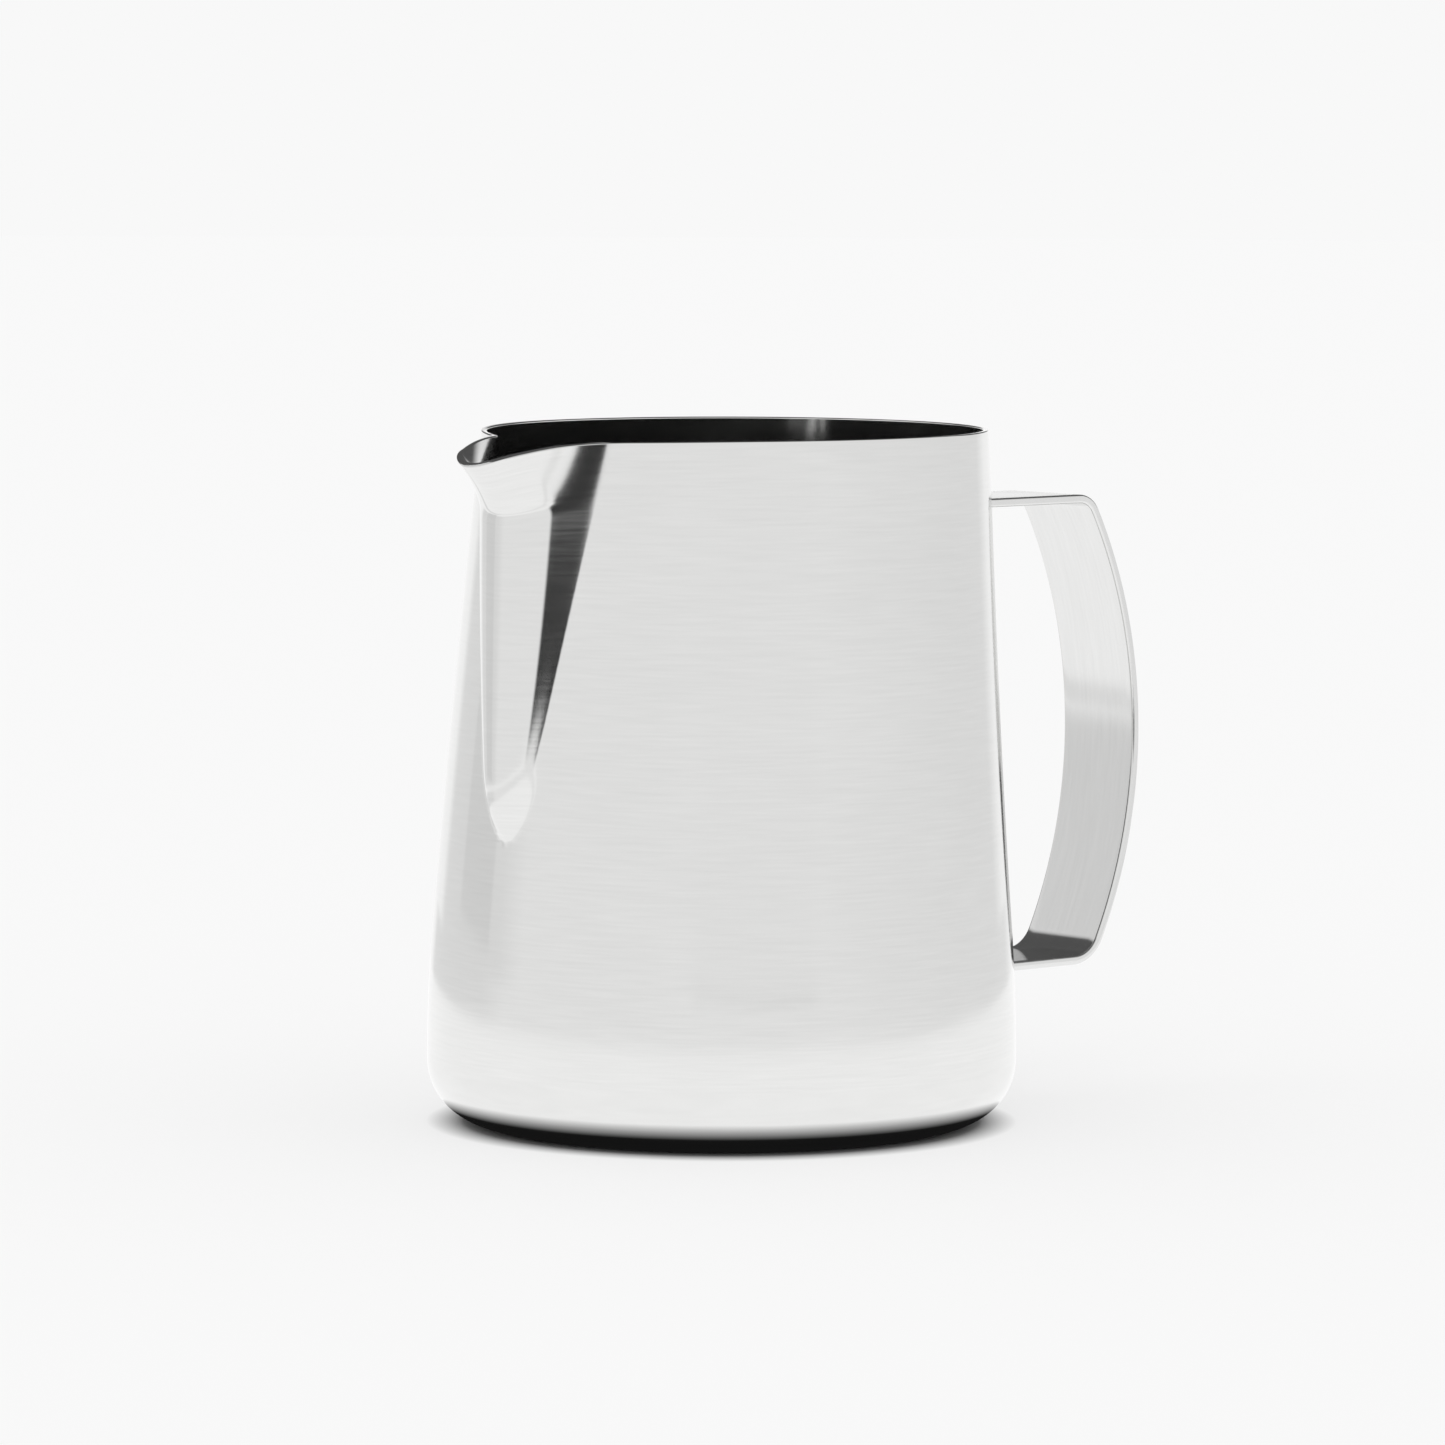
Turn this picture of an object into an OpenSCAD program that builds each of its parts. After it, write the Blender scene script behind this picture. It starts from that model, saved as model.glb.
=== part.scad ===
// Milk frothing pitcher: a thin drawn steel cup with a pouring spout pressed out of
// its wall, and a bent strap handle spot welded to the back.
// Z is up, the cup stands on z = 0, the spout points along -X and the handle along +X.

/* [Cup] */
// Widest outside diameter, just above the bottom corner
cup_d = 92.7; // [80:0.1:112]
// Outside diameter at the rim
rim_d = 79.6; // [68:0.1:92]
// Height of the rim behind the spout
cup_h = 108.9; // [92:0.1:132]
// Radius of the rounded bottom corner
corner_r = 10; // [6:0.5:14]
// Height over which the straight wall curves in to the bottom corner
belly_h = 20; // [10:1:30]
// How far pressing the spout leans the rim back towards the handle
rim_lean = 2.4; // [0:0.1:5]
// Height at which the wall starts to lean back
lean_start = 25; // [20:1:40]
// Thickness of the sheet
wall = 1; // [0.8:0.1:1.6]

/* [Spout] */
// How far the pouring lip stands out from the round rim
lip_reach = 13.9; // [10:0.1:18]
// How far the spout would stand out at the rim without its flare
bulge_top = 7.8; // [6:0.1:10]
// How far the spout stands out at its rounded foot
bulge_foot = 3.6; // [2.5:0.1:4.5]
// Angle from the spout's middle to each crease at the rim
crease_rim = 21.5; // [19:0.5:26]
// The same angle at the rim without the flare
crease_top = 22.4; // [18:0.1:25]
// The same angle at the spout's foot
crease_foot = 9.2; // [7:0.1:11]
// Angle between the spout's middle and the normal of each flank, at the rim
flank_rim = 60; // [54:1:66]
// The same angle below the flared lip
flank_low = 49.5; // [46:0.5:54]
// Height at which the spout's rounded foot starts
foot_z = 47.5; // [40:0.5:54]
// Height of that rounded foot
foot_h = 12; // [8:0.5:15]
// How far below the rim the lip starts to flare
flare_drop = 10.3; // [8:0.1:15]
// How much lower the lip is than the rim
lip_drop = 3.6; // [2:0.1:5]
// How much the rim sinks on either side of the lip
shoulder_drop = 0.8; // [0:0.1:1.5]
// Width of the blend along each crease
crease_blend = 1; // [0.6:0.1:4]
// Width of the blend round the spout's foot
foot_blend = 1.6; // [1:0.1:4]

/* [Handle] */
// Width of the strap
strap_w = 16.5; // [12:0.5:22]
// Thickness of the strap
strap_t = 1.4; // [1:0.1:2.4]
// Depth of the upper arm's top face below the rim
arm_drop = 12.4; // [10:0.1:16]
// Height of the lower arm's bottom face
arm_low = 20.1; // [16:0.1:26]
// Distance of the grip's outer face from the cup's axis, at its widest
grip_reach = 83; // [76:0.5:96]
// Outside radius of the curved grip
grip_r = 75.5; // [65:0.5:110]
// Outside radius of the bend at the top of the grip
bend_top_r = 4.7; // [3:0.1:7]
// Outside radius of the bend at the bottom of the grip
bend_low_r = 7; // [4:0.1:9]
// Outside radius of the bend from each arm to its tab
tab_bend_r = 3.2; // [2.8:0.1:5]
// Height of each tab that lies against the cup
tab_h = 14; // [11:0.5:17]
// Rounding of the strap's long edges
strap_edge = 0.4; // [0.1:0.1:0.5]

/* [Welds] */
// Diameter of a spot weld
weld_d = 5; // [3:0.5:6]
// Distance between the two spot welds of a tab
weld_pitch = 8.5; // [6.5:0.5:9.5]
// Gap that a spot weld leaves between tab and cup
weld_gap = 0.15; // [0.1:0.05:0.3]

/* [Hidden] */

cup_r = cup_d / 2;
rim_r = rim_d / 2;
base_r = cup_r - corner_r;
belly_top = corner_r + belly_h;
wall_slope = (cup_r - rim_r) / (cup_h - corner_r - belly_h / 2);
foot_top = foot_z + foot_h;
flare_z = cup_h - flare_drop;
dip_start = flare_z - 18;
lip_spread = 9.3;
shoulder_spread = 36;
small = 0.01;

// ---- Round wall ----

// Outside radius of the round wall at height z
function wall_r(z) =
    z < belly_top
        ? cup_r - wall_slope * pow(z - corner_r, 2) / (2 * belly_h)
        : cup_r - wall_slope * (z - corner_r - belly_h / 2);

// Place of the round wall's centre along X at height z
function lean(z) =
    z < lean_start ? 0 : rim_lean * pow((z - lean_start) / (cup_h - lean_start), 1.5);

// Place of the back of the wall along X at height z
function back_x(z) = lean(z) + wall_r(z);

// ---- Spout ----

function unit(v) = max(0, min(1, v));

// 0 below the spout's foot and 1 above it, rounded like a fingertip
function foot_share(z) = sqrt(1 - pow(1 - unit((z - foot_z) / foot_h), 2.6));

// 0 at the foot of the spout and 1 at the rim
function rise(z) = unit((z - foot_top) / (cup_h - foot_top));

// 0 just below the flared lip and 1 at the rim, with a soft start
function flare(z) = pow(unit((z - flare_z) / flare_drop), 1.25);

// How far the spout's ridge stands out from the round wall
function bulge(z) =
    foot_share(z) * (bulge_foot + (bulge_top - bulge_foot) * rise(z))
    + (lip_reach - bulge_top) * flare(z);

// Angle from the spout's middle to its creases
function crease(z) =
    foot_share(z) * (crease_foot + (crease_top - crease_foot) * rise(z)) + (crease_rim - crease_top) * flare(z);

// Angle between the spout's middle and the normal of each flank
function flank_angle(z) = flank_low + (flank_rim - flank_low) * flare(z);

// Distance of the spout's outline from the wall's centre, at angle a from its middle:
// an arc across the ridge, with a flat flank tangent to it on each side
function spout_r(a, z) =
    let (
        tilt = flank_angle(z),
        flank = wall_r(z) * cos(tilt - crease(z)),
        ridge = wall_r(z) + bulge(z),
        nose_r = (flank - ridge * cos(tilt)) / (1 - cos(tilt)),
        nose_x = ridge - nose_r,
        nose_end = atan2(nose_r * sin(tilt), nose_x + nose_r * cos(tilt))
    )
    abs(a) < nose_end
        ? nose_x * cos(a) + sqrt(max(0, pow(nose_r, 2) - pow(nose_x * sin(a), 2)))
        : flank / cos(max(tilt - abs(a), 0));

// The larger of two radii, blended over the width w where they cross
function blend_max(p, q, w) = max(p, q) + pow(max(w - abs(p - q), 0), 2) / (4 * w);

// Width of the blend along the spout's creases at height z, wider round its foot
function blend_w(z) =
    (crease_blend + (foot_blend - crease_blend) * (1 - unit((z - foot_z) / (1.5 * foot_h))))
    * unit(bulge(z) / bulge_foot) + small;

// Outside radius of the cup with its spout
function outline_r(a, z) =
    z <= foot_z + small ? wall_r(z) : blend_max(wall_r(z), spout_r(a, z), blend_w(z));

// How much lower the rim is at angle a
function rim_dip(a) =
    shoulder_drop * exp(-pow(a / shoulder_spread, 2)) + lip_drop * exp(-pow(a / lip_spread, 2));

// Point on the outside of the cup above its bottom corner
function wall_point(a, z) =
    let (r = outline_r(a, z), dip = rim_dip(a) * pow(unit((z - dip_start) / (cup_h - dip_start)), 2))
    [lean(z) - r * cos(a), -r * sin(a), z - dip];

// ---- Sheet of the cup, as rows of points from its base to its rim ----

// A row below 1 is a share of the corner's arc, and 1 + z - corner_r is a height on the wall
corner_rows = [for (i = [0 : 6]) i / 6];
belly_rows = [for (i = [1 : 4]) 1 + belly_h * i / 4];
lower_rows = [for (i = [1 : 2]) 1 + belly_h + (foot_z - 1 - belly_top) * i / 2];
foot_rows = [for (i = [0 : 6]) 1 + foot_z - corner_r + foot_h * (1 - cos(15 * i))];
spout_rows = [for (i = [1 : 4]) 1 + foot_top - corner_r + (flare_z - foot_top) * i / 4];
flare_rows = [for (i = [1 : 8]) 1 + flare_z - corner_r + flare_drop * i / 8];
rows = concat(corner_rows, belly_rows, lower_rows, foot_rows, spout_rows, flare_rows);

// Columns crowd together at the spout, where the cup has its finest shape
half_columns = 42;
columns = [for (i = [1 - half_columns : half_columns])
    let (u = abs(i) / half_columns) sign(i) * 180 * (0.35 * u + 0.65 * u * u)];

function outer_point(a, row) =
    row <= 1
        ? let (t = 90 * row, r = base_r + corner_r * sin(t))
            [-r * cos(a), -r * sin(a), corner_r * (1 - cos(t))]
        : wall_point(a, corner_r + row - 1);

// Outward normal of the sheet
function outer_normal(a, row) =
    row <= 1
        ? [-sin(90 * row) * cos(a), -sin(90 * row) * sin(a), -cos(90 * row)]
        : let (
            around = wall_point(a + 0.05, corner_r + row - 1) - wall_point(a - 0.05, corner_r + row - 1),
            step = min(0.02, (cup_h - corner_r - row + 1) + 0.01),
            up = wall_point(a, corner_r + row - 1 + step) - wall_point(a, corner_r + row - 1 - 0.02),
            n = cross(around, up)
        ) n / norm(n);

function inner_point(a, row) = outer_point(a, row) - wall * outer_normal(a, row);

module vessel() {
    n = len(columns);
    last = len(rows) - 1;
    skin = n * len(rows);
    outside = [for (row = rows) for (a = columns) outer_point(a, row)];
    inside = [for (row = rows) for (a = columns) inner_point(a, row)];
    centres = [[0, 0, 0], [0, 0, wall]];
    strips = [for (j = [0 : last - 1]) for (i = [0 : n - 1])
        let (k = (i + 1) % n, p = j * n + i, q = j * n + k, r = q + n, s = p + n)
        each [[p, q, r], [p, r, s], [skin + r, skin + q, skin + p], [skin + s, skin + r, skin + p]]];
    rim = [for (i = [0 : n - 1])
        let (k = (i + 1) % n, p = last * n + i, q = last * n + k)
        each [[p, q, skin + q], [p, skin + q, skin + p]]];
    bottom = [for (i = [0 : n - 1])
        let (k = (i + 1) % n)
        each [[2 * skin, k, i], [2 * skin + 1, skin + i, skin + k]]];
    color([0.80, 0.80, 0.79])
    polyhedron(points = concat(outside, inside, centres), faces = concat(strips, rim, bottom));
}

// ---- Handle strap ----

mid_r = grip_r - strap_t / 2;
grip_x = grip_reach - grip_r;
arm_top = cup_h - arm_drop;
grip_z = (arm_top + arm_low) / 2 - 0.8;
top_line = arm_top - strap_t / 2;
low_line = arm_low + strap_t / 2;
turn_top = bend_top_r - strap_t / 2;
turn_low = bend_low_r - strap_t / 2;
turn_tab = tab_bend_r - strap_t / 2;
top_turn_z = arm_top - bend_top_r;
low_turn_z = arm_low + bend_low_r;
top_turn_x = grip_x + sqrt(pow(grip_r - bend_top_r, 2) - pow(top_turn_z - grip_z, 2));
low_turn_x = grip_x + sqrt(pow(grip_r - bend_low_r, 2) - pow(low_turn_z - grip_z, 2));
top_turn_end = atan2(top_turn_z - grip_z, top_turn_x - grip_x);
low_turn_end = atan2(low_turn_z - grip_z, low_turn_x - grip_x);
upper_tab_z = arm_top - tab_h;
lower_tab_z = arm_low + tab_h;
fade_len = 12;

// Middle of the strap's thickness where it lies against the cup
function tab_x(z) = back_x(z) + weld_gap + strap_t / 2;
upper_bend_x = tab_x(arm_top - tab_bend_r) + turn_tab;
lower_bend_x = tab_x(arm_low + tab_bend_r) + turn_tab;

// A station is [x, z, direction of the outer face's normal, share of the cup's curve]
function arc_stations(x, z, r, from, to, n, curve) =
    [for (i = [0 : n]) let (t = from + (to - from) * i / n) [x + r * cos(t), z + r * sin(t), t, curve]];

function arm_stations(from, to, z, normal) =
    [for (i = [1 : 5]) let (x = from + (to - from) * i / 6)
        [x, z, normal, unit(1 - min(abs(x - upper_bend_x), abs(x - lower_bend_x)) / fade_len)]];

stations = concat(
    [for (i = [0 : 3]) let (z = upper_tab_z + (tab_h - tab_bend_r) * i / 4) [tab_x(z), z, 180, 1]],
    arc_stations(upper_bend_x, top_line - turn_tab, turn_tab, 180, 90, 6, 1),
    arm_stations(upper_bend_x, top_turn_x, top_line, 90),
    arc_stations(top_turn_x, top_turn_z, turn_top, 90, top_turn_end, 6, 0),
    [for (i = [1 : 19]) let (t = top_turn_end + (low_turn_end - top_turn_end) * i / 20)
        [grip_x + mid_r * cos(t), grip_z + mid_r * sin(t), t, 0]],
    arc_stations(low_turn_x, low_turn_z, turn_low, low_turn_end, -90, 6, 0),
    arm_stations(low_turn_x, lower_bend_x, low_line, -90),
    arc_stations(lower_bend_x, low_line + turn_tab, turn_tab, -90, -180, 6, 1),
    [for (i = [1 : 4]) let (z = arm_low + tab_bend_r + (tab_h - tab_bend_r) * i / 4)
        [tab_x(z), z, -180, 1]]
);

// Strap cross-section, as [across, through] points with rounded long edges
face_points = 6;
face_w = strap_w - 2 * strap_edge;
section = concat(
    [for (i = [0 : face_points]) [face_w * (i / face_points - 0.5), strap_t / 2]],
    [[strap_w / 2, 0]],
    [for (i = [0 : face_points]) [face_w * (0.5 - i / face_points), -strap_t / 2]],
    [[-strap_w / 2, 0]]
);

// How far the round wall falls back at distance y from the handle's middle
function fall_back(y, z) = wall_r(z) - sqrt(pow(wall_r(z), 2) - y * y);

function strap_point(st, p) =
    [st[0] + p[1] * cos(st[2]) - st[3] * fall_back(p[0], st[1]), p[0], st[1] + p[1] * sin(st[2])];

module handle_strap() {
    n = len(section);
    last = len(stations) - 1;
    sides = [for (j = [0 : last - 1]) for (i = [0 : n - 1])
        let (k = (i + 1) % n, p = j * n + i, q = j * n + k)
        each [[p, q, q + n], [p, q + n, p + n]]];
    start = [for (i = [1 : n - 2]) [0, i + 1, i]];
    end = [for (i = [1 : n - 2]) [last * n, last * n + i, last * n + i + 1]];
    color([0.78, 0.78, 0.77])
    polyhedron(points = [for (st = stations) for (p = section) strap_point(st, p)],
               faces = concat(sides, start, end));
}

// ---- Spot welds ----

// Two fused discs that join a tab to the wall behind it, centred at height z
module spot_welds(z) {
    reach = wall / 2 + weld_gap + strap_t / 2;
    for (side = [-1, 1])
        translate([back_x(z) - fall_back(side * weld_pitch / 2, z) - wall / 2, side * weld_pitch / 2, z])
            rotate([0, 90, side * asin(weld_pitch / 2 / wall_r(z))])
                cylinder(d = weld_d, h = reach, $fn = 48);
}

module upper_spot_welds() {
    color([0.62, 0.60, 0.56])
    spot_welds(arm_top - tab_bend_r - (tab_h - tab_bend_r) / 2);
}

module lower_spot_welds() {
    color([0.62, 0.60, 0.56])
    spot_welds(arm_low + tab_bend_r + (tab_h - tab_bend_r) / 2);
}

vessel();
handle_strap();
upper_spot_welds();
lower_spot_welds();
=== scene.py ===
"""Milk frothing pitcher: a drawn steel cup with a pressed spout, and a strap handle spot welded to it.

Z is up, the spout points along -X and the handle along +X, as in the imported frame. Lengths are metres.
"""
import math

import bpy
from mathutils import Matrix


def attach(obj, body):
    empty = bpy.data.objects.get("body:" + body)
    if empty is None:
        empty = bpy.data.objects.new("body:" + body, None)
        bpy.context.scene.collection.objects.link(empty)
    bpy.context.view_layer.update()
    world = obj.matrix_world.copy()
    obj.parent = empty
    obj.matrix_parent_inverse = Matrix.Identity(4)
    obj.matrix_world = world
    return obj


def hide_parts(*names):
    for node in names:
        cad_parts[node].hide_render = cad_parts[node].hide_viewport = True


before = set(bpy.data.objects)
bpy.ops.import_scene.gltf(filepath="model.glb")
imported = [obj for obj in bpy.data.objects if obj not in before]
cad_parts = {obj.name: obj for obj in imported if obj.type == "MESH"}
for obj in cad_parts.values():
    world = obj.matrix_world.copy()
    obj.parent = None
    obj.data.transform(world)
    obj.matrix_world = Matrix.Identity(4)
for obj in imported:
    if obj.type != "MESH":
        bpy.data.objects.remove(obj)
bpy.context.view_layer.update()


# ---- Cup ----
# One sheet of stainless steel, drawn to a tapered cup with a rounded bottom corner. The spout is pressed
# out of the wall, from a rounded foot up to a flared lip, and the rim is cut and rounded over.
# It is satin brushed round the cup, with a weld mark on its back behind each spot weld.

MM = 0.001
CUP_SIZES = {
    "Cup radius": 46.34 * MM,
    "Rim radius": 39.8 * MM,
    "Height": 108.9 * MM,
    "Corner radius": 10 * MM,
    "Belly height": 20 * MM,
    "Lean": 2.4 * MM,
    "Lean start": 25 * MM,
    "Lip reach": 13.9 * MM,
    "Bulge top": 7.8 * MM,
    "Bulge foot": 3.6 * MM,
    "Crease at rim": math.radians(21.5),
    "Crease at top": math.radians(22.4),
    "Crease at foot": math.radians(9.2),
    "Flank at rim": math.radians(60),
    "Flank below": math.radians(49.5),
    "Foot height": 47.5 * MM,
    "Foot length": 12 * MM,
    "Flare drop": 10.3 * MM,
    "Lip drop": 3.6 * MM,
    "Lip spread": math.radians(9.3),
    "Shoulder drop": 0.8 * MM,
    "Shoulder spread": math.radians(36),
    "Crease blend": 1 * MM,
    "Foot blend": 1.6 * MM,
}
LEAN_POWER = 1.5
FOOT_POWER = 2.6
FLARE_POWER = 1.25
DIP_BELOW_FLARE = 18 * MM
LEAST_BLEND = 0.01 * MM
SHEET = 1 * MM
RIM_ROUNDING = 0.38 * MM
RIM_ANGLE = math.radians(55)
COLUMNS = 300
ROWS = 140
COLUMN_CROWDING = 0.65
ROW_CROWDING = 1.3
DISC_SHARE = 0.06
CORNER_SHARE = 0.2
SEAM = 0.002 * MM
CUP_STEEL = (0.785, 0.785, 0.778)
CUP_BRUSH = 0.42 * MM
WELD_ACROSS = 4.25 * MM
WELD_LOW = 28.7 * MM
WELD_TOP = 87.9 * MM
MARK_RADIUS = 2.1 * MM
MARK_WIDTH = 0.6 * MM
MARK_DEPTH = 0.06 * MM
HEAT_RADIUS = 3.4 * MM
HEAT_COLOUR = (0.55, 0.47, 0.36, 1)


class Term:
    """A number field in a node tree, written into formulas with the usual signs."""

    def __init__(self, tree, socket):
        self.tree = tree
        self.socket = socket

    def math(self, operation, *others):
        node = self.tree.nodes.new("ShaderNodeMath")
        node.operation = operation
        for place, value in enumerate((self, *others)):
            if isinstance(value, Term):
                self.tree.links.new(value.socket, node.inputs[place])
            else:
                node.inputs[place].default_value = value
        return Term(self.tree, node.outputs[0])

    def __add__(self, other):
        return self.math("ADD", other)

    def __radd__(self, other):
        return self.math("ADD", other)

    def __sub__(self, other):
        return self.math("SUBTRACT", other)

    def __rsub__(self, other):
        return self.math("MULTIPLY", -1.0) + other

    def __mul__(self, other):
        return self.math("MULTIPLY", other)

    def __rmul__(self, other):
        return self.math("MULTIPLY", other)

    def __truediv__(self, other):
        return self.math("DIVIDE", other)

    def __pow__(self, other):
        return self.math("POWER", other)

    def unit(self):
        node = self.math("ADD", 0.0)
        node.socket.node.use_clamp = True
        return node

    def low(self, other):
        return self.math("MINIMUM", other)

    def high(self, other):
        return self.math("MAXIMUM", other)

    def below(self, other):
        return self.math("LESS_THAN", other)

    def sin(self):
        return self.math("SINE")

    def cos(self):
        return self.math("COSINE")

    def root(self):
        return self.math("SQRT")

    def size(self):
        return self.math("ABSOLUTE")

    def pick(self, when_one, when_zero):
        """when_one where this term is 1, when_zero where it is 0."""
        return self * when_one + (1 - self) * when_zero


class Tree:
    """A geometry node tree with named number inputs."""

    def __init__(self, name, sizes):
        self.group = bpy.data.node_groups.new(name, "GeometryNodeTree")
        self.sizes = sizes
        face = self.group.interface
        face.new_socket("Geometry", in_out="INPUT", socket_type="NodeSocketGeometry")
        for label in sizes:
            face.new_socket(label, in_out="INPUT", socket_type="NodeSocketFloat")
        face.new_socket("Geometry", in_out="OUTPUT", socket_type="NodeSocketGeometry")
        self.source = self.group.nodes.new("NodeGroupInput")

    def term(self, label):
        return Term(self.group, self.source.outputs[label])

    def node(self, kind, **settings):
        made = self.group.nodes.new(kind)
        for key, value in settings.items():
            setattr(made, key, value)
        return made

    def link(self, output, target):
        self.group.links.new(output, target)

    def position(self):
        split = self.node("ShaderNodeSeparateXYZ")
        self.link(self.node("GeometryNodeInputPosition").outputs[0], split.inputs[0])
        return [Term(self.group, split.outputs[axis]) for axis in range(3)]

    def place(self, mesh, point):
        """Moves every vertex of the mesh to the point that three terms give."""
        joined = self.node("ShaderNodeCombineXYZ")
        for axis, term in enumerate(point):
            self.link(term.socket, joined.inputs[axis])
        moved = self.node("GeometryNodeSetPosition")
        self.link(mesh, moved.inputs["Geometry"])
        self.link(joined.outputs[0], moved.inputs["Position"])
        return moved.outputs[0]

    def keep(self, mesh, label, term):
        """Stores a term on the mesh's vertices, for its material to read."""
        stored = self.node("GeometryNodeStoreNamedAttribute", data_type="FLOAT", domain="POINT")
        stored.inputs["Name"].default_value = label
        self.link(mesh, stored.inputs["Geometry"])
        self.link(term.socket, stored.inputs["Value"])
        return stored.outputs[0]

    def finish(self, mesh, material):
        real = self.node("GeometryNodeRealizeInstances")
        dressed = self.node("GeometryNodeSetMaterial")
        dressed.inputs["Material"].default_value = material
        self.link(mesh, real.inputs[0])
        self.link(real.outputs[0], dressed.inputs["Geometry"])
        self.link(dressed.outputs[0], self.node("NodeGroupOutput").inputs[0])

    def attach(self, piece):
        """Adds the tree to a piece and sets each input by its socket's identifier."""
        modifier = piece.modifiers.new(self.group.name, "NODES")
        modifier.node_group = self.group
        for item in self.group.interface.items_tree:
            if item.in_out == "INPUT" and item.name in self.sizes:
                modifier[item.identifier] = self.sizes[item.name]


def new_piece(name, mesh=None):
    piece = bpy.data.objects.new(name, mesh or bpy.data.meshes.new(name))
    bpy.context.scene.collection.objects.link(piece)
    return piece


def set_solid(piece):
    """Turns what the piece's modifiers make into its plain mesh, with smooth shading."""
    graph = bpy.context.evaluated_depsgraph_get()
    mesh = bpy.data.meshes.new_from_object(
        piece.evaluated_get(graph), preserve_all_data_layers=True, depsgraph=graph)
    piece.modifiers.clear()
    piece.data = mesh
    mesh.name = piece.name
    mesh.polygons.foreach_set("use_smooth", [True] * len(mesh.polygons))


def object_place(tree):
    """The object's own coordinates as a socket, and as three terms."""
    place = tree.nodes.new("ShaderNodeTexCoord").outputs["Object"]
    split = tree.nodes.new("ShaderNodeSeparateXYZ")
    tree.links.new(place, split.inputs[0])
    return place, [Term(tree, split.outputs[axis]) for axis in range(3)]


def brushed_steel(name, colour, roughness, spread, place_lines, lines, depth):
    """Satin steel, with brush lines of one width and depth, and faint smudges from handling.

    place_lines gives two lengths along the surface and one across its brush lines.
    """
    material = bpy.data.materials.new(name)
    material.use_nodes = True
    tree = material.node_tree
    steel = tree.nodes["Principled BSDF"]
    steel.inputs["Metallic"].default_value = 1.0
    steel.inputs["Anisotropic"].default_value = spread
    place, axes = object_place(tree)
    along, beside, across = place_lines(tree, axes)

    def scratches(length, width, detail):
        joined = tree.nodes.new("ShaderNodeCombineXYZ")
        for axis, term in enumerate((along / length, beside / length, across / width)):
            tree.links.new(term.socket, joined.inputs[axis])
        noise = tree.nodes.new("ShaderNodeTexNoise")
        noise.inputs["Scale"].default_value = 1.0
        noise.inputs["Detail"].default_value = detail
        noise.inputs["Roughness"].default_value = 0.55
        tree.links.new(joined.outputs[0], noise.inputs["Vector"])
        return Term(tree, noise.outputs["Fac"])

    cloud = tree.nodes.new("ShaderNodeTexNoise")
    cloud.inputs["Scale"].default_value = 60.0
    cloud.inputs["Detail"].default_value = 3.0
    tree.links.new(place, cloud.inputs["Vector"])
    smudge = Term(tree, cloud.outputs["Fac"])
    fine = scratches(9 * MM, lines, 1.0)
    coarse = scratches(14 * MM, 3.1 * lines, 2.0)
    grain = fine * 0.6 + coarse * 0.4
    rough = roughness * (1 + (grain - 0.5) * 0.5 + (smudge - 0.5) * 0.35)
    tree.links.new(rough.socket, steel.inputs["Roughness"])
    tint = tree.nodes.new("ShaderNodeMix")
    tint.data_type = "RGBA"
    tint.inputs["A"].default_value = (*[0.965 * part for part in colour], 1)
    tint.inputs["B"].default_value = (*[1.035 * part for part in colour], 1)
    shade = (0.5 + (grain - 0.5) * 1.6 + (smudge - 0.5) * 0.4).unit()
    tree.links.new(shade.socket, tint.inputs["Factor"])
    tree.links.new(tint.outputs["Result"], steel.inputs["Base Color"])
    bump = tree.nodes.new("ShaderNodeBump")
    bump.inputs["Strength"].default_value = 1.0
    bump.inputs["Distance"].default_value = depth
    tree.links.new(fine.socket, bump.inputs["Height"])
    tree.links.new(bump.outputs["Normal"], steel.inputs["Normal"])
    return material, tree, steel


def weld_marks(tree, steel, start, end):
    """Shallow round electrode marks over the four spot welds, on faces between two places along X."""
    _, (x, y, z) = object_place(tree)
    across = y.size() - WELD_ACROSS
    up = (z - WELD_LOW).size().low((z - WELD_TOP).size())
    away = (across * across + up * up).root()
    there = (1 - x.below(start)) * x.below(end)
    ring = (1 - (away - MARK_RADIUS).size() / MARK_WIDTH).unit() * there
    heat = (1 - away / HEAT_RADIUS).unit() * there
    dent = tree.nodes.new("ShaderNodeBump")
    dent.inputs["Strength"].default_value = 1.0
    dent.inputs["Distance"].default_value = MARK_DEPTH
    tree.links.new((1 - ring).socket, dent.inputs["Height"])
    tree.links.new(steel.inputs["Normal"].links[0].from_socket, dent.inputs["Normal"])
    tree.links.new(dent.outputs["Normal"], steel.inputs["Normal"])
    tint = tree.nodes.new("ShaderNodeMix")
    tint.data_type = "RGBA"
    tree.links.new(steel.inputs["Base Color"].links[0].from_socket, tint.inputs["A"])
    tint.inputs["B"].default_value = HEAT_COLOUR
    tree.links.new((heat * 0.7).socket, tint.inputs["Factor"])
    tree.links.new(tint.outputs["Result"], steel.inputs["Base Color"])


def cup_material():
    def round_the_cup(tree, axes):
        stored = tree.nodes.new("ShaderNodeAttribute")
        stored.attribute_name = "drawn_length"
        return axes[0], axes[1], Term(tree, stored.outputs["Fac"])

    material, tree, steel = brushed_steel(
        "satin_cup_steel", CUP_STEEL, 0.095, 0.5, round_the_cup, CUP_BRUSH, 0.0012 * MM)
    tangent = tree.nodes.new("ShaderNodeTangent")
    tangent.direction_type = "RADIAL"
    tangent.axis = "Z"
    tree.links.new(tangent.outputs[0], steel.inputs["Tangent"])
    steel.inputs["Anisotropic Rotation"].default_value = 0.25
    weld_marks(tree, steel, 20 * MM, 60 * MM)
    return material


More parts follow.
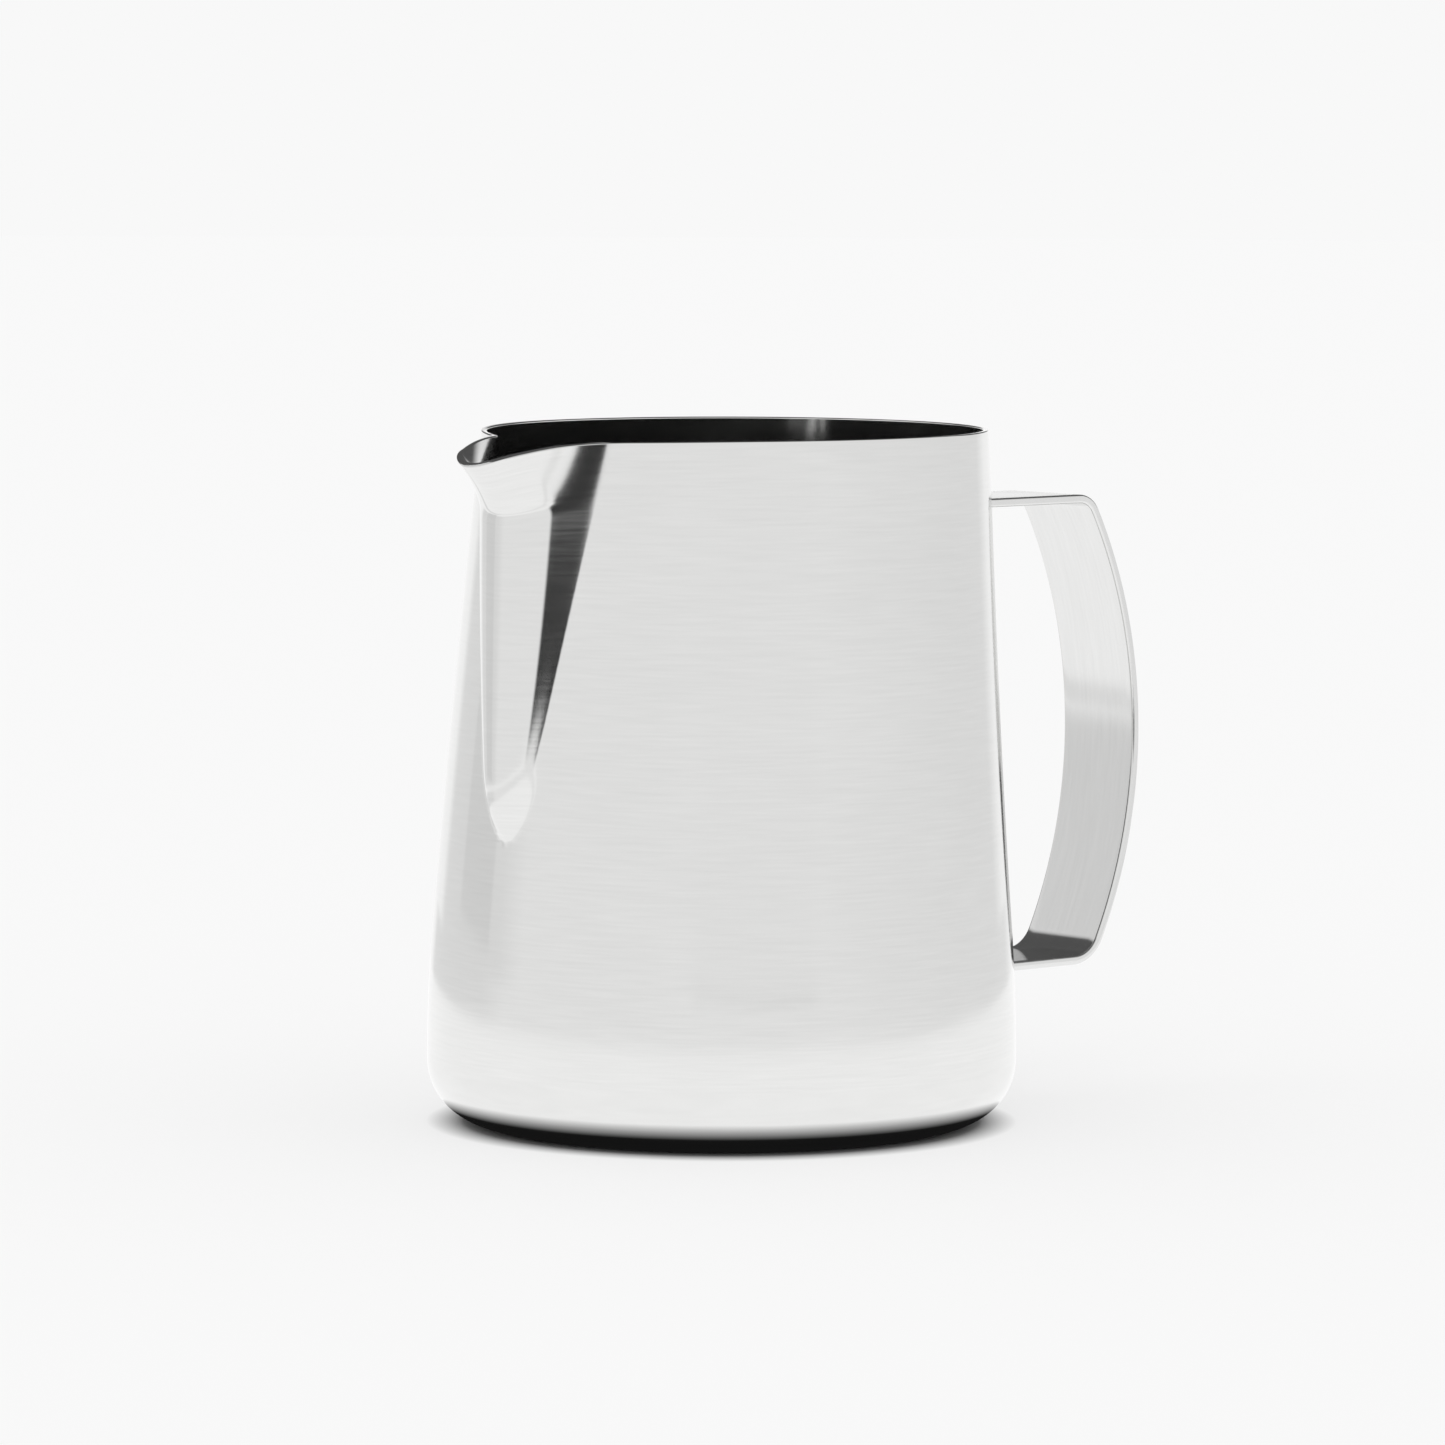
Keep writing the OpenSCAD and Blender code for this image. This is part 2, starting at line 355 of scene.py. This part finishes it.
def cup_tree(material):
    tree = Tree("drawn_cup", CUP_SIZES)
    get = tree.term
    grid = tree.node("GeometryNodeMeshGrid")
    grid.inputs["Size X"].default_value = 2.0
    grid.inputs["Size Y"].default_value = 1.0
    grid.inputs["Vertices X"].default_value = COLUMNS
    grid.inputs["Vertices Y"].default_value = ROWS
    turn, up, _ = tree.position()
    up = up + 0.5
    # Columns crowd together at the spout, where the sheet has its finest shape
    angle = turn * math.pi * ((1 - COLUMN_CROWDING) + COLUMN_CROWDING * turn.size())

    # Rows run over the flat bottom, round the corner and up the wall, closer together near the rim
    disc = (up / DISC_SHARE).unit()
    corner = ((up - DISC_SHARE) / (CORNER_SHARE - DISC_SHARE)).unit() * (math.pi / 2)
    climb = 1 - (1 - ((up - CORNER_SHARE) / (1 - CORNER_SHARE)).unit()) ** ROW_CROWDING
    height = get("Corner radius") + (get("Height") - get("Corner radius")) * climb

    belly_top = get("Corner radius") + get("Belly height")
    slope = (get("Cup radius") - get("Rim radius")) / (
        get("Height") - get("Corner radius") - get("Belly height") / 2)
    above = (height - get("Corner radius")).high(0)
    curved = get("Cup radius") - slope * above * above / (get("Belly height") * 2)
    straight = get("Cup radius") - slope * (above - get("Belly height") / 2)
    wall = height.below(belly_top).pick(curved, straight)
    lean = ((height - get("Lean start")) / (get("Height") - get("Lean start"))).unit() ** LEAN_POWER
    lean = get("Lean") * lean

    foot_top = get("Foot height") + get("Foot length")
    flare_start = get("Height") - get("Flare drop")
    up_foot = ((height - get("Foot height")) / get("Foot length")).unit()
    foot = (1 - (1 - up_foot) ** FOOT_POWER).high(0).root()
    rise = (height - foot_top) / (get("Height") - foot_top)
    flare = ((height - flare_start) / get("Flare drop")).unit() ** FLARE_POWER
    bulge = foot * (get("Bulge foot") + (get("Bulge top") - get("Bulge foot")) * rise)
    bulge = bulge + (get("Lip reach") - get("Bulge top")) * flare
    crease = foot * (get("Crease at foot") + (get("Crease at top") - get("Crease at foot")) * rise)
    crease = crease + (get("Crease at rim") - get("Crease at top")) * flare

    # The spout's outline is an arc across its ridge with a flat flank on each side
    side = angle.size()
    tilt = get("Flank below") + (get("Flank at rim") - get("Flank below")) * flare
    flank = wall * (tilt - crease).cos()
    ridge = wall + bulge
    nose = (flank - ridge * tilt.cos()) / (1 - tilt.cos())
    centre = ridge - nose
    nose_end = (nose * tilt.sin()).math("ARCTAN2", centre + nose * tilt.cos())
    arc = centre * side.cos() + ((nose * nose - (centre * side.sin()) ** 2.0).high(0)).root()
    line = flank / (tilt - side).high(0).cos()
    spout = side.below(nose_end).pick(arc, line)
    near_foot = 1 - ((height - get("Foot height")) / (get("Foot length") * 1.5)).unit()
    width = get("Crease blend") + (get("Foot blend") - get("Crease blend")) * near_foot
    width = width * (bulge / get("Bulge foot")).unit() + LEAST_BLEND
    gap = (width - (wall - spout).size()).high(0)
    blended = wall.high(spout) + gap * gap / (width * 4)
    outline = height.below(get("Foot height") + LEAST_BLEND).pick(wall, blended)

    def bell(spread):
        return (0 - (angle / spread) * (angle / spread)).math("EXPONENT")

    dip = get("Shoulder drop") * bell(get("Shoulder spread")) + get("Lip drop") * bell(get("Lip spread"))
    dip_start = flare_start - DIP_BELOW_FLARE
    sink = dip * ((height - dip_start) / (get("Height") - dip_start)).unit() ** 2.0

    flat = get("Cup radius") - get("Corner radius")
    low_radius = flat * disc + get("Corner radius") * corner.sin()
    on_wall = (up - CORNER_SHARE).math("GREATER_THAN", 0)
    radius = on_wall.pick(outline, low_radius)
    level = on_wall.pick(height - sink, get("Corner radius") * (1 - corner.cos()))
    shift = on_wall * lean
    mesh = tree.keep(grid.outputs["Mesh"], "drawn_length", on_wall.pick(height + flat, low_radius))
    mesh = tree.place(mesh, (shift - radius * angle.cos(), 0 - radius * angle.sin(), level))
    merged = tree.node("GeometryNodeMergeByDistance")
    merged.inputs["Distance"].default_value = SEAM
    tree.link(mesh, merged.inputs["Geometry"])
    tree.finish(merged.outputs[0], material)
    return tree


cup = new_piece("cup")
cup_steel = cup_material()
cup.data.materials.append(cup_steel)
cup_tree(cup_steel).attach(cup)
sheet = cup.modifiers.new("sheet", "SOLIDIFY")
sheet.thickness = SHEET
sheet.offset = -1
sheet.use_even_offset = True
rounding = cup.modifiers.new("rim", "BEVEL")
rounding.width = RIM_ROUNDING
rounding.segments = 4
rounding.limit_method = "ANGLE"
rounding.angle_limit = RIM_ANGLE
set_solid(cup)
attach(cup, "root")
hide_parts("vessel")


# ---- Handle strap ----
# A flat strip of stainless steel with rounded long edges, bent to a grip between two level arms.
# Each end turns in along the back of the cup as a tab, which is curved to fit it and spot welded. The
# grip's curve starts a little below the middle of the two arms.

STRAP_WIDTH = 16.5 * MM
STRAP = 1.4 * MM
STRAP_EDGE = 0.45 * MM
ARM_TOP = 96.5 * MM
ARM_LOW = 20.1 * MM
GRIP_REACH = 82.975 * MM
GRIP_R = 75.5 * MM
BEND_TOP_R = 4.7 * MM
BEND_LOW_R = 7 * MM
TAB_BEND_R = 3.2 * MM
GRIP_DROP = 0.8 * MM
TAB_HEIGHT = 14 * MM
WELD_GAP = 0.15 * MM
FADE_HEIGHT = 0.06
FADE_GAP = 4 * MM
STRAP_STEEL = (0.78, 0.78, 0.775)


def cup_back(z):
    """Place of the back of the cup along X, and the wall's radius, at height z."""
    size = CUP_SIZES
    corner, belly = size["Corner radius"], size["Belly height"]
    slope = (size["Cup radius"] - size["Rim radius"]) / (size["Height"] - corner - belly / 2)
    above = z - corner
    fall = slope * above * above / (2 * belly) if above < belly else slope * (above - belly / 2)
    radius = size["Cup radius"] - fall
    share = max(0.0, (z - size["Lean start"]) / (size["Height"] - size["Lean start"]))
    return radius + size["Lean"] * share ** LEAN_POWER, radius


def arc(centre, radius, start, stop, steps):
    """Points on an arc in the XZ plane, from one angle in degrees to another."""
    turns = [math.radians(start + (stop - start) * step / steps) for step in range(steps + 1)]
    return [(centre[0] + radius * math.cos(turn), centre[1] + radius * math.sin(turn)) for turn in turns]


def strap_path():
    """Middle line of the strap, from the upper tab's end round the grip to the lower tab's end."""
    half = STRAP / 2
    grip_x = GRIP_REACH - GRIP_R
    grip_z = (ARM_TOP + ARM_LOW) / 2 - GRIP_DROP
    tab_x = lambda z: cup_back(z)[0] + WELD_GAP + half
    ends = []
    for arm, radius in ((ARM_TOP - BEND_TOP_R, BEND_TOP_R), (ARM_LOW + BEND_LOW_R, BEND_LOW_R)):
        x = grip_x + math.sqrt((GRIP_R - radius) ** 2 - (arm - grip_z) ** 2)
        ends.append(((x, arm), math.degrees(math.atan2(arm - grip_z, x - grip_x))))
    (top, top_turn), (low, low_turn) = ends
    tab_r = TAB_BEND_R - half
    up_z, down_z = ARM_TOP - TAB_BEND_R, ARM_LOW + TAB_BEND_R
    up_x, down_x = tab_x(up_z) + tab_r, tab_x(down_z) + tab_r
    flat = TAB_HEIGHT - TAB_BEND_R
    path = [(tab_x(z), z) for z in (up_z - flat * (1 - step / 12) for step in range(12))]
    path += arc((up_x, up_z), tab_r, 180, 90, 20)
    path += [(up_x + (top[0] - up_x) * step / 16, ARM_TOP - half) for step in range(1, 16)]
    path += arc(top, BEND_TOP_R - half, 90, top_turn, 24)
    path += arc((grip_x, grip_z), GRIP_R - half, top_turn, low_turn, 90)[1:-1]
    path += arc(low, BEND_LOW_R - half, low_turn, -90, 24)
    path += [(low[0] + (down_x - low[0]) * step / 16, ARM_LOW + half) for step in range(1, 16)]
    path += arc((down_x, down_z), tab_r, -90, -180, 20)
    path += [(tab_x(z), z) for z in (down_z + flat * step / 12 for step in range(1, 13))]
    return path


def strap_section():
    """Outline of the strip, as (across, through) points with rounded long edges."""
    wide, thin = STRAP_WIDTH / 2 - STRAP_EDGE, STRAP / 2 - STRAP_EDGE
    outline = []
    for side, (x, y) in enumerate(((wide, thin), (-wide, thin), (-wide, -thin), (wide, -thin))):
        outline += arc((x, y), STRAP_EDGE, 90 * side, 90 * side + 90, 6)
        if side in (0, 2):
            step = (-1 if side == 0 else 1) * wide * 2 / 12
            outline += [(x + step * count, y + math.copysign(STRAP_EDGE, y)) for count in range(1, 12)]
    return outline


def line_piece(name, points, closed):
    mesh = bpy.data.meshes.new(name)
    edges = [(number, number + 1) for number in range(len(points) - 1)]
    if closed:
        edges.append((len(points) - 1, 0))
    mesh.from_pydata(points, edges, [])
    return new_piece(name, mesh)


def strap_tree(material, section):
    sizes = {"Back radius low": cup_back(ARM_LOW)[1], "Back radius top": cup_back(ARM_TOP)[1],
             "Low": ARM_LOW, "Top": ARM_TOP, "Fade start": cup_back(FADE_HEIGHT)[0], "Fade length": 12 * MM}
    tree = Tree("bent_strap", sizes)
    get = tree.term
    path = tree.node("GeometryNodeMeshToCurve")
    tree.link(tree.source.outputs["Geometry"], path.inputs[0])
    shape = tree.node("GeometryNodeObjectInfo")
    shape.inputs["Object"].default_value = section
    outline = tree.node("GeometryNodeMeshToCurve")
    tree.link(shape.outputs["Geometry"], outline.inputs[0])
    swept = tree.node("GeometryNodeCurveToMesh")
    swept.inputs["Fill Caps"].default_value = True
    tree.link(path.outputs[0], swept.inputs["Curve"])
    tree.link(outline.outputs[0], swept.inputs["Profile Curve"])
    x, y, z = tree.position()
    radius = get("Back radius low") + (get("Back radius top") - get("Back radius low")) * (
        (z - get("Low")) / (get("Top") - get("Low")))
    fall = radius - (radius * radius - y * y).root()
    share = 1 - ((x - get("Fade start") - FADE_GAP) / get("Fade length")).unit()
    mesh = tree.place(swept.outputs[0], (x - fall * share, y, z))
    tree.finish(mesh, material)
    return tree


def strap_material():
    material, tree, steel = brushed_steel(
        "polished_strap_steel", STRAP_STEEL, 0.12, 0.0,
        lambda tree, axes: (axes[0], axes[2], axes[1]), 0.5 * MM, 0.0012 * MM)
    weld_marks(tree, steel, 20 * MM, 55 * MM)
    return material


section = line_piece("strap_section", [(across, through, 0) for across, through in strap_section()], True)
strap = line_piece("strap", [(x, 0, z) for x, z in strap_path()], False)
strap_steel = strap_material()
strap_tree(strap_steel, section).attach(strap)
set_solid(strap)
bpy.data.objects.remove(section)
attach(strap, "root")
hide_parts("handle_strap")


# ---- Spot welds ----
# Two fused discs join each tab to the wall. They are hidden between the sheets, and dull with heat.
# The marks they leave on the strap and in the cup are in those pieces' own steel.

WELD_STEEL = (0.62, 0.58, 0.52)

for name in ("upper_spot_welds", "lower_spot_welds"):
    material, _, _ = brushed_steel(
        name + "_steel", WELD_STEEL, 0.3, 0.0,
        lambda tree, axes: (axes[0], axes[1], axes[2]), 0.8 * MM, 0.004 * MM)
    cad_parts[name].data.materials.clear()
    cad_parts[name].data.materials.append(material)


# ---- Studio ----
# A pale floor under an even white surround, with a painted contact shadow under the cup, and the camera
# low in front of the spout's side. The steel mirrors white screens all round, a glowing floor disc that
# paints the floor's reflection with painted shadow under the cup, a dark ceiling, a dark gap low in front,
# and one gray card. Pieces that only the steel mirrors are hidden from the camera.

CAMERA_TURN = math.radians(-41)
CAMERA_DISTANCE = 1.2074
CAMERA_HEIGHT = 0.1666
CAMERA_PITCH = math.radians(-4.915)
CAMERA_ROLL = math.radians(0.184)
LENS = 192.5
NEAR_FLOOR = 0.27
FAR_FLOOR = 6.0
# Turn in degrees and light of each stop round the screens, with the two ends first
SCREENS = ((-180, 1.0), (180, 1.0), (-152, 1.0), (-145, 0.82), (-99, 0.83), (-86, 0.92),
           (40, 0.92), (60, 0.90), (100, 0.87), (140, 0.84), (151, 1.0))
SCREEN_FOOT = 0.25
SCREEN_FOOT_HEIGHT = 0.016
CARD_LEFT = (-0.166, 0.182)
CARD_RIGHT = (-0.088, 0.256)
CARD_LOW = 0.027
CARD_TOP = 0.4
CARD_LIGHT = 0.75
# Glow of the floor and of the mirrored floor disc; both fade out under the cup as painted contact shadow,
# the disc down to UNDER_CUP_LIGHT.
FLOOR_GLOW = 0.59
MIRRORED_FLOOR = 1.03
MIRRORED_REACH = 0.40
UNDER_CUP_LIGHT = 0.008
# Degrees of rise over which the screens give way to the ceiling, and the same behind the pitcher
CEILING = (30, 55)
CEILING_BEHIND = (4.5, 8)
BEHIND = (110, 130)
CEILING_LIGHT = 0.09
# Degrees of turn and of rise over which the dark gap fades in and out
GAP_LEFT = (-13, -9)
GAP_RIGHT = (34, 40)
GAP_TOP = (-3.0, -1.5)
GAP_LIGHT = 0.03
FLOOR_LIGHT = 0.985
BACKDROP = 0.939


def ring_mesh(name, inner, outer, height, sides=96):
    """A flat ring, or a disc where the inner radius is 0, or an upright band where both radii are equal."""
    turns = [2 * math.pi * side / sides for side in range(sides)]
    low = [(inner * math.cos(turn), inner * math.sin(turn), 0) for turn in turns]
    high = [(outer * math.cos(turn), outer * math.sin(turn), height) for turn in turns]
    mesh = bpy.data.meshes.new(name)
    if inner == 0:
        mesh.from_pydata(high, [], [tuple(range(sides))])
    else:
        faces = [(side, sides + side, sides + (side + 1) % sides, (side + 1) % sides)
                 for side in range(sides)]
        mesh.from_pydata(low + high, [], faces)
    return mesh


def painted_shadow_under_cup(tree, start, end):
    """0 on the floor under the cup, up to the first radius, and 1 from the second radius outwards: the mask
    of a painted shadow under the cup.
    """
    _, (x, y, _) = object_place(tree)
    return (((x * x + y * y).root() - start) / (end - start)).unit()


def floor_paint():
    """Matt white and partly glowing, so its shadows stay faint; the glow is taken away under the cup, a
    painted contact shadow.
    """
    paint = bpy.data.materials.new("pale_floor")
    paint.use_nodes = True
    tree = paint.node_tree
    cover = tree.nodes["Principled BSDF"]
    cover.inputs["Base Color"].default_value = (0.36, 0.36, 0.36, 1)
    cover.inputs["Roughness"].default_value = 0.9
    cover.inputs["Specular IOR Level"].default_value = 0.0
    cover.inputs["Emission Color"].default_value = (1, 1, 1, 1)
    # The glow fades out under the cup's rounded corner: painted contact shadow on the floor.
    lit = painted_shadow_under_cup(tree, 0.0405, 0.0465)
    tree.links.new((lit * FLOOR_GLOW).socket, cover.inputs["Emission Strength"])
    return paint


def glow_paint(name, light):
    paint = bpy.data.materials.new(name)
    paint.use_nodes = True
    tree = paint.node_tree
    tree.nodes.clear()
    glow = tree.nodes.new("ShaderNodeEmission")
    glow.inputs["Strength"].default_value = light
    tree.links.new(glow.outputs[0], tree.nodes.new("ShaderNodeOutputMaterial").inputs["Surface"])
    return paint, tree, glow


def screen_turn(x, y):
    """Turn in degrees from the camera's side of the pitcher, positive to the right of the picture."""
    front = 0 - (x * -math.sin(CAMERA_TURN) + y * math.cos(CAMERA_TURN))
    right = x * math.cos(CAMERA_TURN) + y * math.sin(CAMERA_TURN)
    return right.math("ARCTAN2", front) * (180 / math.pi)


def screen_light(tree, turn):
    """Brightness of the white screens round the pitcher: less to the sides, and most behind it."""
    ramp = tree.nodes.new("ShaderNodeValToRGB")
    tree.links.new(((turn + 180) / 360).socket, ramp.inputs[0])
    stops = ramp.color_ramp.elements
    for number, (place, light) in enumerate(SCREENS):
        if number < 2:
            stop = stops[number]
            stop.position = (place + 180) / 360
        else:
            stop = stops.new((place + 180) / 360)
        stop.color = (light, light, light, 1)
    return Term(tree, ramp.outputs[0])


def stage_piece(name, mesh, paint, mirrored_only=False, hidden_in_steel=False):
    piece = new_piece(name, mesh)
    mesh.materials.append(paint)
    if mirrored_only:
        piece.visible_camera = False
        piece.visible_diffuse = False
        piece.visible_shadow = False
        piece.visible_transmission = False
    if hidden_in_steel:
        piece.visible_glossy = False


def make_floor():
    paint = floor_paint()
    stage_piece("near_floor", ring_mesh("near_floor", 0, NEAR_FLOOR, 0), paint)
    far = ring_mesh("far_floor", NEAR_FLOOR, FAR_FLOOR, 0)
    stage_piece("far_floor", far, paint, hidden_in_steel=True)
    paint, tree, glow = glow_paint("screen_foot", 1.0)
    _, (x, y, _) = object_place(tree)
    tree.links.new(screen_light(tree, screen_turn(x, y)).socket, glow.inputs["Strength"])
    curb = ring_mesh("curb", SCREEN_FOOT, SCREEN_FOOT, SCREEN_FOOT_HEIGHT)
    stage_piece("curb", curb, paint, mirrored_only=True)
    # A glowing disc that only the steel mirrors: a painted reflection of the floor, dark under the cup as a
    # painted contact shadow.
    paint, tree, glow = glow_paint("lit_floor", 1.0)
    lit = painted_shadow_under_cup(tree, 0.0426, 0.0476) ** 1.15
    tree.links.new((UNDER_CUP_LIGHT + lit * MIRRORED_FLOOR).socket, glow.inputs["Strength"])
    lit_floor = ring_mesh("lit_floor", 0, MIRRORED_REACH, 0.0001)
    stage_piece("lit_floor", lit_floor, paint, mirrored_only=True)
    # The gray card stands to the left, behind the cup, where the grip's inner face mirrors it
    card = bpy.data.meshes.new("gray_card")
    corners = [(*CARD_LEFT, CARD_LOW), (*CARD_RIGHT, CARD_LOW),
               (*CARD_RIGHT, CARD_TOP), (*CARD_LEFT, CARD_TOP)]
    card.from_pydata(corners, [], [(0, 1, 2, 3)])
    stage_piece("gray_card", card, glow_paint("gray_card", CARD_LIGHT)[0], mirrored_only=True)


def make_surround():
    world = bpy.data.worlds.new("surround")
    bpy.context.scene.world = world
    world.use_nodes = True
    tree = world.node_tree
    glow = tree.nodes["Background"]
    split = tree.nodes.new("ShaderNodeSeparateXYZ")
    tree.links.new(tree.nodes.new("ShaderNodeTexCoord").outputs["Generated"], split.inputs[0])
    x, y, z = [Term(tree, split.outputs[axis]) for axis in range(3)]
    turn = screen_turn(x, y)
    rise = z.math("ARCSINE") * (180 / math.pi)

    def step(term, start, end):
        return ((term - start) / (end - start)).unit()

    # The screens end low down behind the pitcher and higher up elsewhere, with a dark room above them
    back = step(turn.size(), *BEHIND)
    start, end = [high + (low - high) * back for high, low in zip(CEILING, CEILING_BEHIND)]
    ceiling = step(rise, start, end)
    gap = step(turn, *GAP_LEFT) * (1 - step(turn, *GAP_RIGHT)) * (1 - step(rise, *GAP_TOP))
    mirrored = screen_light(tree, turn) * (1 - ceiling) + CEILING_LIGHT * ceiling
    mirrored = mirrored * (1 - gap) + GAP_LIGHT * gap
    path = tree.nodes.new("ShaderNodeLightPath")
    camera = Term(tree, path.outputs["Is Camera Ray"])
    glossy = Term(tree, path.outputs["Is Glossy Ray"])
    light = camera.pick(BACKDROP, glossy.pick(mirrored, FLOOR_LIGHT))
    tree.links.new(light.socket, glow.inputs["Strength"])
    glow.inputs["Color"].default_value = (1, 1, 1, 1)


make_floor()
make_surround()
camera = bpy.data.objects.new("camera", bpy.data.cameras.new("camera"))
bpy.context.scene.collection.objects.link(camera)
camera.data.lens = LENS
camera.data.sensor_width = 36
camera.data.clip_end = 20
camera.location = (
    math.sin(CAMERA_TURN) * CAMERA_DISTANCE, -math.cos(CAMERA_TURN) * CAMERA_DISTANCE, CAMERA_HEIGHT)
camera.rotation_euler = (
    Matrix.Rotation(CAMERA_TURN, 3, "Z") @ Matrix.Rotation(math.pi / 2 + CAMERA_PITCH, 3, "X")
    @ Matrix.Rotation(CAMERA_ROLL, 3, "Z")).to_euler()
bpy.context.scene.camera = camera
bpy.context.scene.view_settings.view_transform = "Standard"
